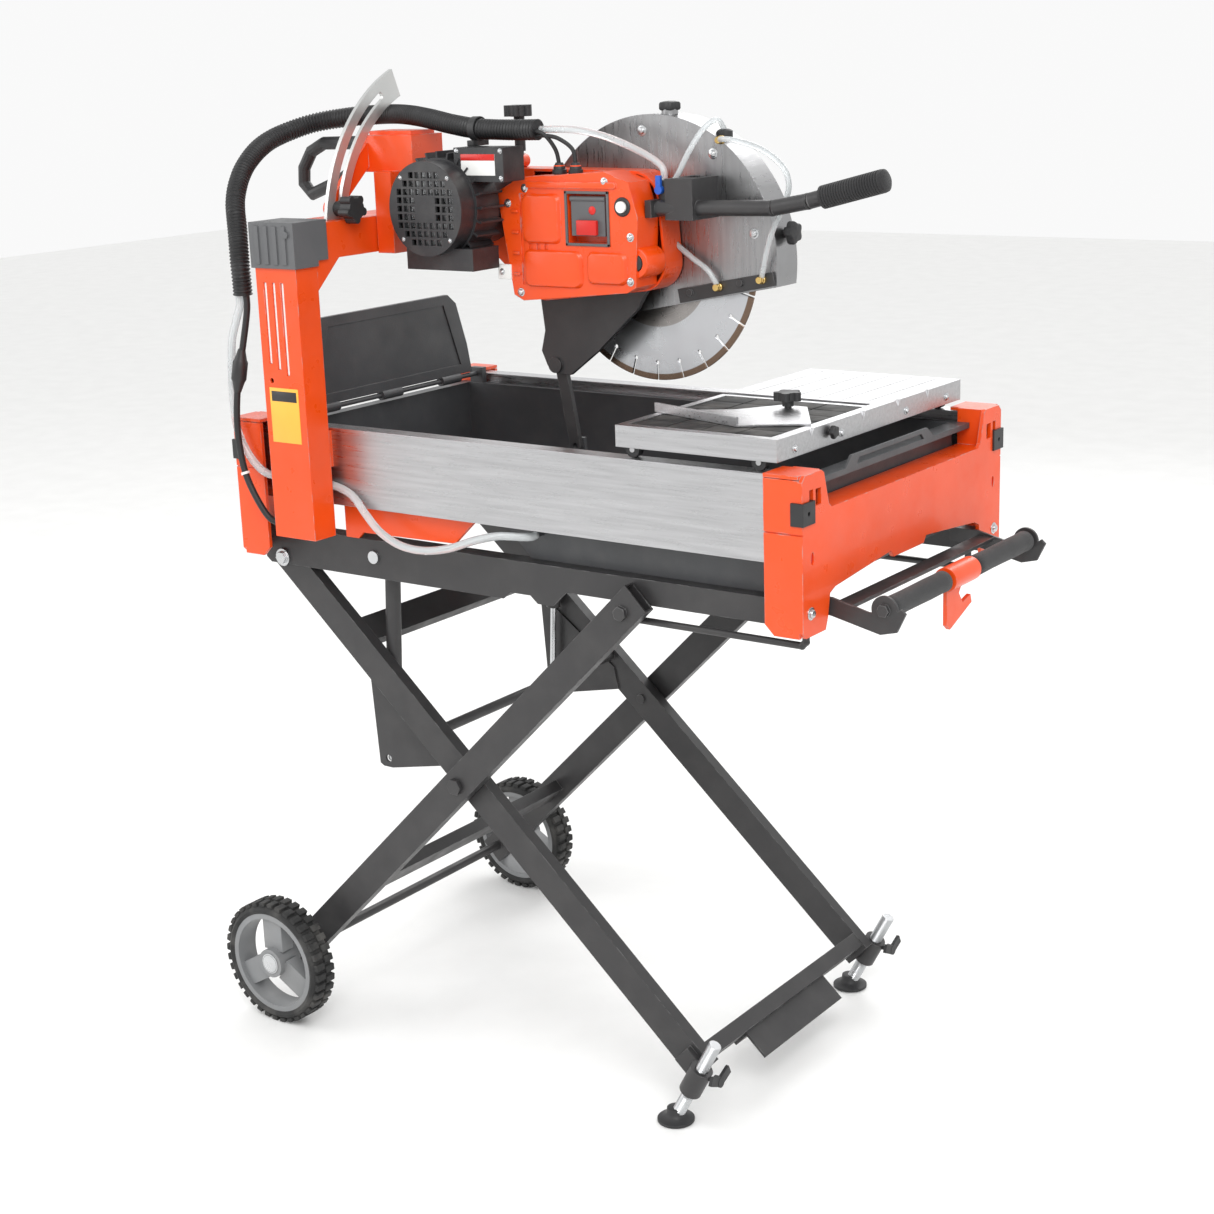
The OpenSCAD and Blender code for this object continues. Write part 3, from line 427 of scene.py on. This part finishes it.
def make_cord(name, route, diameter, material, body=None, replaced=None, ribs=0.0, sides=16):
    """A cord as a mesh tube. Ribs give a corrugated conduit its wave."""
    rib_pitch = 0.0052
    line = smooth_route(metres(route), 0.0013 if ribs else 0.004)

    def radius_at(along):
        wave = 0.5 - 0.5 * math.cos(2 * math.pi * along / rib_pitch)
        return diameter / 2 * (1 - ribs * wave)

    work = bmesh.new()
    sweep(work, line, radius_at, sides)
    made = piece(name, work, material, body)
    if replaced:
        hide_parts(replaced)
    return made


def make_cords(materials):
    black, clear = materials["cable_black"], materials["hose_clear"]
    conduit = make_cord("conduit_tube", CONDUIT, 0.030, black, replaced="conduit",
                        ribs=0.14, sides=24)
    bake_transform(conduit)
    make_cord("power_lead", POWER, 0.010, black, "base", "power_cable")
    make_cord("pump_line", PUMP, 0.012, clear, "base", "pump_hose")
    make_cord("feed_line", FEED, 0.010, clear, "head", "feed_hose")
    make_cord("switch_lead", SWITCH_LEAD, 0.006, black, "head")
    make_cord("motor_lead", MOTOR_LEAD, 0.006, black, "head")
    make_cord("guard_top_loop", TOP_LOOP, 0.008, clear, "head")
    make_cord("guard_front_loop", FRONT_LOOP, 0.008, clear, "head")
    make_cord("guard_strip_hose", STRIP_HOSE, 0.008, clear, "head")


# ------------------------------------------------------------------ fasteners and knobs


def add_screw(work, at, direction, radius):
    """A pan-head screw on a washer, with a hex recess."""
    r = radius
    add_lathe(work, at, direction, [(1.5 * r, 0), (1.5 * r, 0.12 * r), (1.35 * r, 0.2 * r), (r, 0.2 * r),
                                    (r, 0.55 * r), (0.8 * r, 0.82 * r), (0.5 * r, 0.9 * r)], 28)
    recess = [(0.42 * r, -0.02 * r), (0.38 * r, 0.05 * r)]
    add_lathe(work, Vector(at) + Vector(direction) * 0.9 * r, direction, recess, 6)


def screws(name, spots, direction, radius, material, body):
    work = bmesh.new()
    for spot in spots:
        add_screw(work, spot, direction, radius)
    return piece(name, work, material, body)


def star_knob(name, at, direction, radius, material, body):
    r = radius
    profile = [(0.45 * r, 0), (0.5 * r, 0.3 * r), (0.92 * r, 0.42 * r), (r, 0.55 * r), (r, 0.95 * r),
               (0.9 * r, 1.1 * r), (0.5 * r, 1.18 * r), (0.2 * r, 1.2 * r)]
    return lathe(name, at, direction, profile, material, body, "black_plastic", sides=60, lobes=5,
                 lobe_depth=0.22)


# ------------------------------------------------------------------ wheels and feet


def make_tyre(side, materials):
    """A solid tyre with a ring of staggered lugs."""
    node = "tyre_" + side
    low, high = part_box(node)
    centre, outer, half = (low + high) / 2, (high.x - low.x) / 2, (high.y - low.y) / 2
    bead, carcass = outer - 0.0189, outer - 0.005
    profile = [(bead, -half + 0.003), (bead + 0.006, -half), (carcass - 0.004, -half + 0.002),
               (carcass, -half + 0.008), (carcass, half - 0.008), (carcass - 0.004, half - 0.002),
               (bead + 0.006, half), (bead, half - 0.003), (bead, -half + 0.003)]
    work = bmesh.new()
    add_lathe(work, centre, (0, 1, 0), profile, 96)
    open_ends(work)
    lugs = 36
    for k in range(2 * lugs):
        row = k % 2 * 2 - 1
        lug = bmesh.new()
        add_block(lug, (-0.0055, row * half * 0.46 - half * 0.40, carcass - 0.002),
                  (0.0055, row * half * 0.46 + half * 0.40, outer - 0.0002), 0.001)
        spin = Matrix.Translation(centre) @ Matrix.Rotation(2 * math.pi * (k + 0.5) / (2 * lugs), 4, "Y")
        merge(work, lug, spin)
    made = piece("tread_" + side, work, materials["tyre"], "wheel_" + side)
    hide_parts(node)


def make_hub(side, materials):
    """The domed steel cap on the axle's end."""
    sign = -1 if side == "near" else 1
    low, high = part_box("rim_" + side)
    face = low.y if sign < 0 else high.y
    axle = JOINTS["wheel_spin_" + side]["pos_m"]
    at = Vector((axle[0], face - sign * 0.001, axle[2]))
    dome = [(0.017, 0), (0.017, 0.0005)] + [(0.016 * math.cos(a), 0.0012 * math.sin(a) + 0.0005)
                                           for a in (0.3, 0.7, 1.1, 1.45)]
    lathe("hub_cap_" + side, at, (0, sign, 0), dome, materials["steel"], "wheel_" + side, "steel")


def make_foot(side, materials):
    """A rubber foot on a threaded rod, in place of the plain CAD solid."""
    body = "levelling_" + side
    node = "foot_" + side
    low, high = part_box(node)
    lean = Vector(JOINTS["foot_slide_" + side]["axis"]).normalized()
    centre = Vector((low.x + 0.0275, (low.y + high.y) / 2, 0))
    plate = [(0.0255, 0), (0.0275, 0.001), (0.0275, 0.0045), (0.024, 0.006), (0.017, 0.009), (0.014, 0.013),
             (0.013, 0.021), (0.011, 0.022)]
    foot = lathe("foot_plate_" + side, centre, (0, 0, 1), plate, materials["black_plastic"], body,
                 "black_plastic")
    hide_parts(node)
    pitch, start, turns = 0.0025, 0.012, 56
    thread = [(0.0088, start)]
    for k in range(turns):
        thread += [(0.0088, start + pitch * (k + 0.1)), (0.0099, start + pitch * (k + 0.5)),
                   (0.0088, start + pitch * (k + 0.9))]
    lathe("foot_thread_" + side, centre + Vector((0, 0, 0.006)), lean, thread, materials["steel"], body,
          "steel", sides=28)


# ------------------------------------------------------------------ grips


def make_front_grips(materials):
    """Foam sleeves with rounded, slightly swollen ends."""
    low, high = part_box("front_grips")
    x, z = (low.x + high.x) / 2, (low.z + high.z) / 2
    for name, start, end in (("near", -0.2125, -0.048), ("far", 0.036, 0.2125)):
        span = end - start
        profile = [(0.0105, 0), (0.0135, 0.0008), (0.0150, 0.0035)]
        profile += [(0.0146 + 0.0003 * math.cos(9 * t), span * t) for t in (0.1, 0.3, 0.5, 0.7, 0.9)]
        profile += [(0.0150, span - 0.0035), (0.0135, span - 0.0008), (0.0105, span)]
        grip = lathe("foam_grip_" + name, (x, start, z), (0, 1, 0), profile, materials["foam"], "base",
                     "foam")
        if name == "near":
            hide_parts("front_grips")


def make_head_grip(materials):
    """The ribbed sleeve at the end of the handle bar."""
    start, end = Vector((0.384, -0.060, 1.3174)), Vector((0.482, -0.060, 1.3415))
    length, ribs = (end - start).length, 22
    profile = [(0.0125, 0), (0.0158, 0.0015)]
    for k in range(ribs):
        s = 0.003 + (length - 0.012) * k / ribs
        profile += [(0.0158, s), (0.0158, s + 0.0022), (0.0146, s + 0.0028), (0.0146, s + 0.0038)]
    profile += [(0.0159, length - 0.008), (0.0150, length - 0.003), (0.0100, length)]
    grip = lathe("ribbed_grip", start, end - start, profile, materials["foam"], "head", "foam")
    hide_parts("head_grip")


# ------------------------------------------------------------------ head details


def make_cover_details(materials):
    """The screws, switch frame, stop paddle, start dot, button ring and lead glands of the cover."""
    towards = (0, -1, 0)
    face = JOINTS["switch_lift"]["pos_m"][1] - 0.004
    corners = [(-0.112, 1.306), (-0.080, 1.328), (0.062, 1.338), (0.104, 1.262), (0.102, 1.200),
               (-0.094, 1.178)]
    screws("cover_screws", [(x, face, z) for x, z in corners], towards, 0.0042, materials["steel"], "head")
    frame_work = bmesh.new()
    left, right, low, high, bar = -0.008, 0.069, 1.248, 1.325, 0.004
    for a, b in (((left, low), (right, low + bar)), ((left, high - bar), (right, high)),
                 ((left, low), (left + bar, high)), ((right - bar, low), (right, high))):
        add_block(frame_work, (a[0], face - 0.002, a[1]), (b[0], face + 0.001, b[1]), 0.0006)
    piece("switch_frame", frame_work, materials["cap_grey"], "head")
    block("stop_paddle", (0.0135, face - 0.0052, 1.2635), (0.0485, face + 0.0015, 1.2845),
          materials["red_plastic"], "switch", round_by=0.0016)
    lathe("start_dot", (0.038, face + 0.0035, 1.298), towards, [(0.006, 0), (0.006, 0.002), (0.0045, 0.003)],
          materials["red_plastic"], "switch")
    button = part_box("stop_button")
    at = Vector(((button[0].x + button[1].x) / 2, face + 0.0004, (button[0].z + button[1].z) / 2))
    ring = bmesh.new()
    bezel = [(0.0084, 0), (0.0135, 0), (0.0135, 0.0016), (0.0120, 0.003), (0.0084, 0.003), (0.0084, 0)]
    add_lathe(ring, at, towards, bezel)
    open_ends(ring)
    piece("button_bezel", ring, materials["black_plastic"], "head")
    for name, x in (("switch", -0.026), ("motor", 0.003)):
        nut = [(0.0105, 0), (0.0105, 0.006), (0.0085, 0.0065), (0.0085, 0.010), (0.0052, 0.016)]
        lathe("gland_" + name, (x, -0.096, 1.3475), (0, 0, 1), nut, materials["black_plastic"], "head",
              "black_plastic")


def add_raised(work, outline, base, height, inset):
    """A panel raised towards -Y with drafted, rounded sides. The outline is (x, z) points."""
    middle = sum((Vector((x, 0, z)) for x, z in outline), Vector()) / len(outline)
    rings = []
    for y, shrink in ((base, 0), (base - 0.7 * height, 0.55 * inset), (base - 0.93 * height, 0.8 * inset),
                      (base - height, 1.25 * inset)):
        ring = []
        for x, z in outline:
            out = Vector((x, 0, z)) - middle
            spot = middle + out * (1 - shrink / out.length)
            ring.append(Vector((spot.x, y, spot.z)))
        rings.append(ring)
    skin_rings(work, rings)


def rounded(left, right, low, high, radius, corner=5):
    """The outline of a rectangle with round corners."""
    points = []
    for cx, cz, turn in ((right - radius, high - radius, 0), (left + radius, high - radius, 90),
                         (left + radius, low + radius, 180), (right - radius, low + radius, 270)):
        for k in range(corner + 1):
            a = math.radians(turn + 90 * k / corner)
            points.append((cx + radius * math.cos(a), cz + radius * math.sin(a)))
    return points


def make_cover_relief(materials):
    """The moulded panels, flange ribs and lug of the belt cover."""
    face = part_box("belt_cover")[0].y + 0.0004
    work = bmesh.new()
    panels = ((-0.086, 0.020, 1.187, 1.241), (0.027, 0.098, 1.194, 1.241), (-0.086, -0.016, 1.249, 1.321))
    for left, right, low, high in panels:
        add_raised(work, rounded(left, right, low, high, 0.011), face, 0.006, 0.006)
    add_raised(work, rounded(-0.078, 0.084, 1.3285, 1.3375, 0.004), face, 0.0035, 0.003)
    for z in (1.205, 1.235, 1.265, 1.295):
        add_block(work, (-0.1045, face - 0.004, z - 0.002), (-0.0925, face + 0.001, z + 0.002), 0.0012)
    lug = [(0.0225, 0), (0.0225, 0.040), (0.0205, 0.0435), (0.0130, 0.044), (0.0125, 0.041)]
    add_lathe(work, (0.108, -0.0625, 1.226), (0, -1, 0), lug, 44)
    piece("cover_relief", work, materials["orange_paint"], "head")
    plug = [(0.0118, 0), (0.0118, 0.003), (0.0100, 0.0042), (0.0050, 0.0046)]
    lathe("cover_plug", (0.108, -0.1040, 1.226), (0, -1, 0), plug, materials["black_plastic"], "head",
          "black_plastic")
    tab = bmesh.new()
    add_block(tab, (-0.134, face - 0.003, 1.196), (-0.110, face + 0.001, 1.218), 0.0014)
    piece("cover_tab", tab, materials["button_white"], "head")
    screws("tab_screw", [(-0.126, face - 0.003, 1.207)], (0, -1, 0), 0.0032, materials["steel"], "head")


def make_guard_details(materials):
    """The screws and knobs of the blade guard, its water nozzle and the barbs that the hoses end on."""
    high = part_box("blade_guard")[1]
    side = -0.012
    spots = [(0.061, side, 1.403), (0.181, side, 1.371), (0.247, side, 1.262)]
    screws("guard_screws", spots, (0, -1, 0), 0.0050, materials["steel"], "head")
    knob = materials["black_plastic"]
    star_knob("guard_front_knob", (high.x - 0.003, 0.015, 1.262), (1, 0, 0), 0.017, knob, "head")
    star_knob("guard_top_knob", (0.095, 0.010, high.z - 0.010), (0, 0, 1), 0.016, knob, "head")
    cap = [(0.0115, 0), (0.0115, 0.009), (0.009, 0.011), (0.006, 0.012)]
    lathe("nozzle_cap", (0.187, 0.010, 1.392), (0, 0, 1), cap, knob, "head", "black_plastic")
    brass = materials["brass"]
    barb = [(0.006, 0), (0.006, 0.004), (0.0048, 0.005), (0.0052, 0.008), (0.0044, 0.009), (0.0048, 0.012)]
    lathe("nozzle_brass", (0.196, -0.0115, 1.390), (0, -1, 0), barb, brass, "head")
    for k, spot in enumerate(((0.093, -0.0115, 1.275), (0.190, -0.0155, 1.186), (0.262, -0.0155, 1.199))):
        lathe("hose_barb_%d" % k, spot, (0, -1, 0), barb, brass, "head")


def make_motor_details(materials):
    """The blank plate on the switch box, the motor's screws and the saddle that holds the conduit."""
    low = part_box("motor_housing")[0]
    face = -0.163
    block("motor_plate", (-0.152, face - 0.0006, 1.349), (-0.090, face + 0.0004, 1.379),
          materials["button_white"], "head", 0.0002)
    block("motor_plate_band", (-0.152, face - 0.0009, 1.370), (-0.090, face - 0.0004, 1.379),
          materials["red_plastic"], "head", round_by=0.0002)
    corners = [(x, face, z) for x in (-0.160, -0.080) for z in (1.345, 1.383)]
    screws("box_screws", corners, (0, -1, 0), 0.0026, materials["steel"], "head")
    ring = JOINTS["motor_spin"]["pos_m"]
    around = [(ring[0] + 0.0625 * math.cos(a), low.y, ring[2] + 0.0625 * math.sin(a))
              for a in (math.pi / 4 * (2 * k + 1) for k in range(4))]
    screws("cowl_screws", around, (0, -1, 0), 0.0022, materials["steel"], "head")
    clamp = bmesh.new()
    centre = Vector((-0.162, -0.110, 1.412))
    band = [(0.0155, 0), (0.0175, 0), (0.0175, 0.012), (0.0155, 0.012), (0.0155, 0)]
    add_lathe(clamp, centre - Vector((0.006, 0, 0)), (1, 0, 0), band, 36)
    open_ends(clamp)
    add_block(clamp, (-0.168, -0.128, 1.388), (-0.156, -0.092, 1.396), 0.0008)
    piece("conduit_saddle", clamp, materials["black_plastic"], "head")


# ------------------------------------------------------------------ frame details


def make_column_details(materials):
    """Three white strips, and a blank yellow patch with a plain black band."""
    low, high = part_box("column")
    work = bmesh.new()
    for i in range(3):
        left = low.x + 0.022 + 0.017 * i
        add_block(work, (left + 0.0003, low.y + 0.002, 1.0853 - 0.008 * i),
                  (left + 0.0057, low.y + 0.0045, 1.2047), 0.0004)
    piece("column_strips", work, materials["button_white"], "base")
    block("column_patch", (low.x + 0.018, low.y - 0.0005, 0.968), (high.x - 0.013, low.y + 0.0003, 1.050),
          materials["yellow_patch"], "base", round_by=0.0002)
    block("column_patch_band", (low.x + 0.022, low.y - 0.0008, 1.030),
          (high.x - 0.017, low.y - 0.0003, 1.045), materials["black_plastic"], "base",
          0.0002)


def make_panel_details(materials):
    """The corner bolts and the red ovals of the two end panels."""
    for end, node, sign in (("front", "front_panel", 1), ("rear", "rear_panel", -1)):
        low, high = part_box(node)
        face = high.x if sign > 0 else low.x
        spots = [(face, y, 0.806) for y in (-0.270, 0.270)]
        screws("corner_bolts_" + end, spots, (sign, 0, 0), 0.0058, materials["steel"], "base")
        work = bmesh.new()
        for y in (-0.265, 0.265):
            oval = bmesh.new()
            dome = [(0.0058, -0.005), (0.0058, -0.0025), (0.0046, -0.0018)]
            add_lathe(oval, (0, 0, 0), (1, 0, 0), dome, 32)
            fit = Matrix.Translation((face, y, 0.878)) @ Matrix.Diagonal((sign, 0.7, 1.4, 1))
            merge(work, oval, fit)
        piece("panel_ovals_" + end, work, materials["red_plastic"], "base")


def make_table_details(materials):
    """The rubber pads, end screws and small knob of the table."""
    low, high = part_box("cart_table")
    work = bmesh.new()
    rows, columns, gap = 4, 6, 0.0015
    x0, x1, y0, y1 = low.x + 0.0135, high.x - 0.0185, low.y + 0.0155, -0.0035
    for i in range(rows):
        for j in range(columns):
            a = (x0 + (x1 - x0) * i / rows + gap, y0 + (y1 - y0) * j / columns + gap, high.z - 0.0030)
            b = (x0 + (x1 - x0) * (i + 1) / rows - gap, y0 + (y1 - y0) * (j + 1) / columns - gap,
                 high.z - 0.0004)
            add_block(work, a, b, 0.0007)
    piece("table_pads", work, materials["tyre"], "table")
    spots = [(high.x, y, high.z - 0.019) for y in (-0.217, -0.095, 0.091, 0.216)]
    screws("table_screws", spots, (1, 0, 0), 0.0040, materials["steel"], "table")
    star_knob("table_knob", (high.x - 0.0005, -0.126, high.z - 0.012), (1, 0, 0), 0.0095,
              materials["black_plastic"], "table")


def make_cable_fittings(materials):
    """The in-line joint on the power lead and the tie that holds it."""
    line = metres(POWER)
    at, ahead = line[4], line[5]
    profile = [(0.0055, -0.030), (0.0095, -0.014), (0.0115, -0.010), (0.0115, 0.016), (0.0095, 0.020),
               (0.0055, 0.036)]
    lathe("inline_joint", at, ahead - at, profile, materials["black_plastic"], "base", "black_plastic")
    strap = [(0.0058, -0.002), (0.0068, -0.002), (0.0068, 0.002), (0.0058, 0.002)]
    lathe("cable_tie", line[8], line[9] - line[7], strap, materials["button_white"], "base",
          "button_white")


# ------------------------------------------------------------------ studio


def add_light(name, at, target, size, power):
    data = bpy.data.lights.new(name, "AREA")
    data.size = size
    data.energy = power
    light = bpy.data.objects.new(name, data)
    light.location = at
    light.rotation_euler = (Vector(target) - Vector(at)).to_track_quat("-Z", "Y").to_euler()
    bpy.context.scene.collection.objects.link(light)


def make_studio():
    world = bpy.data.worlds.new("studio")
    world.use_nodes = True
    background = world.node_tree.nodes["Background"]
    background.inputs["Color"].default_value = (1.0, 1.0, 1.0, 1)
    background.inputs["Strength"].default_value = 0.95
    bpy.context.scene.world = world
    bpy.context.scene.view_settings.view_transform = "Standard"
    middle = (0, 0, 0.9)
    add_light("key", (2.2, -2.6, 3.4), middle, 2.4, 95)
    add_light("fill", (-3.0, -2.2, 2.4), middle, 2.6, 42)
    add_light("back", (-0.6, 3.0, 3.0), middle, 2.4, 50)
    bpy.ops.mesh.primitive_plane_add(size=24, location=(0, 0, -0.0005))
    floor = bpy.context.object
    floor.name = "floor"
    floor.data.materials.append(surface("floor_pale", (0.90, 0.90, 0.89), 0.6, vary=0.02, bump=0.02))


# ------------------------------------------------------------------ build

make_camera()
MATERIALS = make_materials()
make_cords(MATERIALS)
dress_cad_nodes(MATERIALS)
for wheel_side in ("near", "far"):
    make_tyre(wheel_side, MATERIALS)
    make_hub(wheel_side, MATERIALS)
    make_foot(wheel_side, MATERIALS)
make_front_grips(MATERIALS)
make_head_grip(MATERIALS)
make_cover_details(MATERIALS)
make_cover_relief(MATERIALS)
make_guard_details(MATERIALS)
make_motor_details(MATERIALS)
make_column_details(MATERIALS)
make_panel_details(MATERIALS)
make_table_details(MATERIALS)
make_cable_fittings(MATERIALS)
make_studio()
